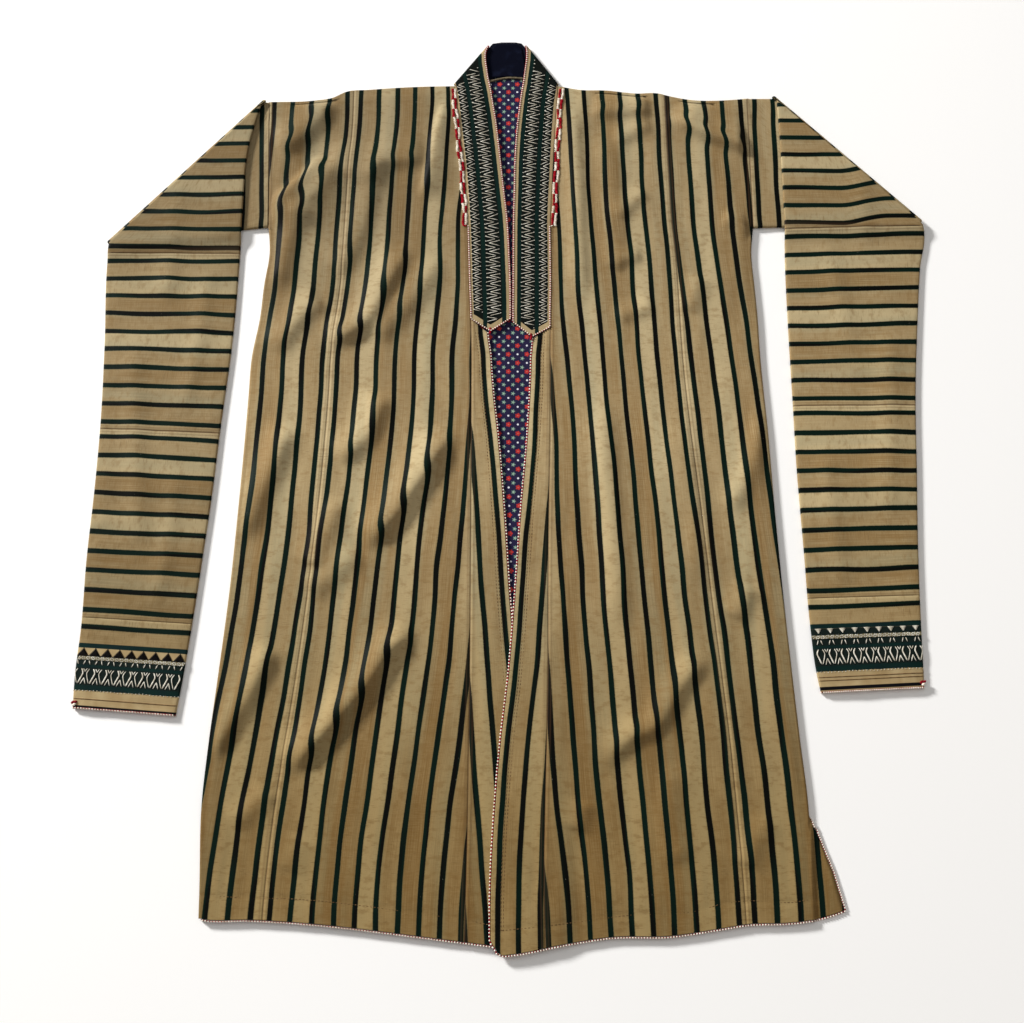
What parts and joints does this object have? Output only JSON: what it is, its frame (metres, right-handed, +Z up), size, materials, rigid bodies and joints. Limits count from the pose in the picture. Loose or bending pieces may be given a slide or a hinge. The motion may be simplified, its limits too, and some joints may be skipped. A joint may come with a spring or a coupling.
{
  "type": "uzbek chapan robe",
  "caption": "Long open-fronted robe of striped handloom cloth with an embroidered shawl collar, laid flat on its back with both sleeves turned down along the sides.",
  "frame": {"origin": "middle of the robe's outline, on the surface that it lies on", "axes": "+Z up from the surface, +Y towards the collar, +X to the viewer's right, which is the wearer's left side; the robe is 1.18 m along Y and 1.05 m along X"},
  "size_m": [1.0532, 1.1788, 0.0114],
  "materials": {
    "striped_cloth": "tan silk and cotton cloth with narrow dark green warp stripes, soft sheen",
    "cuff_cloth": "the same striped cloth with dark and cream embroidery",
    "collar_embroidery": "striped cloth between dense cream and dark green zigzag stitching",
    "velvet_facing": "navy velvet",
    "printed_lining": "navy cotton with a small red, white and pale green print",
    "edging_braid": "narrow red and white braid"
  },
  "bodies": {
    "root": {"body_centre_left": "striped_cloth", "body_centre_right": "striped_cloth", "body_side_left": "striped_cloth", "body_side_right": "striped_cloth", "front_gore_left": "striped_cloth", "front_gore_right": "striped_cloth", "sleeve_left_1": "striped_cloth", "sleeve_left_2": "striped_cloth", "sleeve_left_3": "striped_cloth", "sleeve_left_4": "cuff_cloth", "sleeve_right_1": "striped_cloth", "sleeve_right_2": "striped_cloth", "sleeve_right_3": "striped_cloth", "sleeve_right_4": "cuff_cloth", "collar": "collar_embroidery", "collar_facing": "velvet_facing", "back_lining": "printed_lining", "edging_front_left": "edging_braid", "edging_front_right": "edging_braid", "edging_cuff_left": "edging_braid", "edging_cuff_right": "edging_braid"}
  },
  "joints": []
}
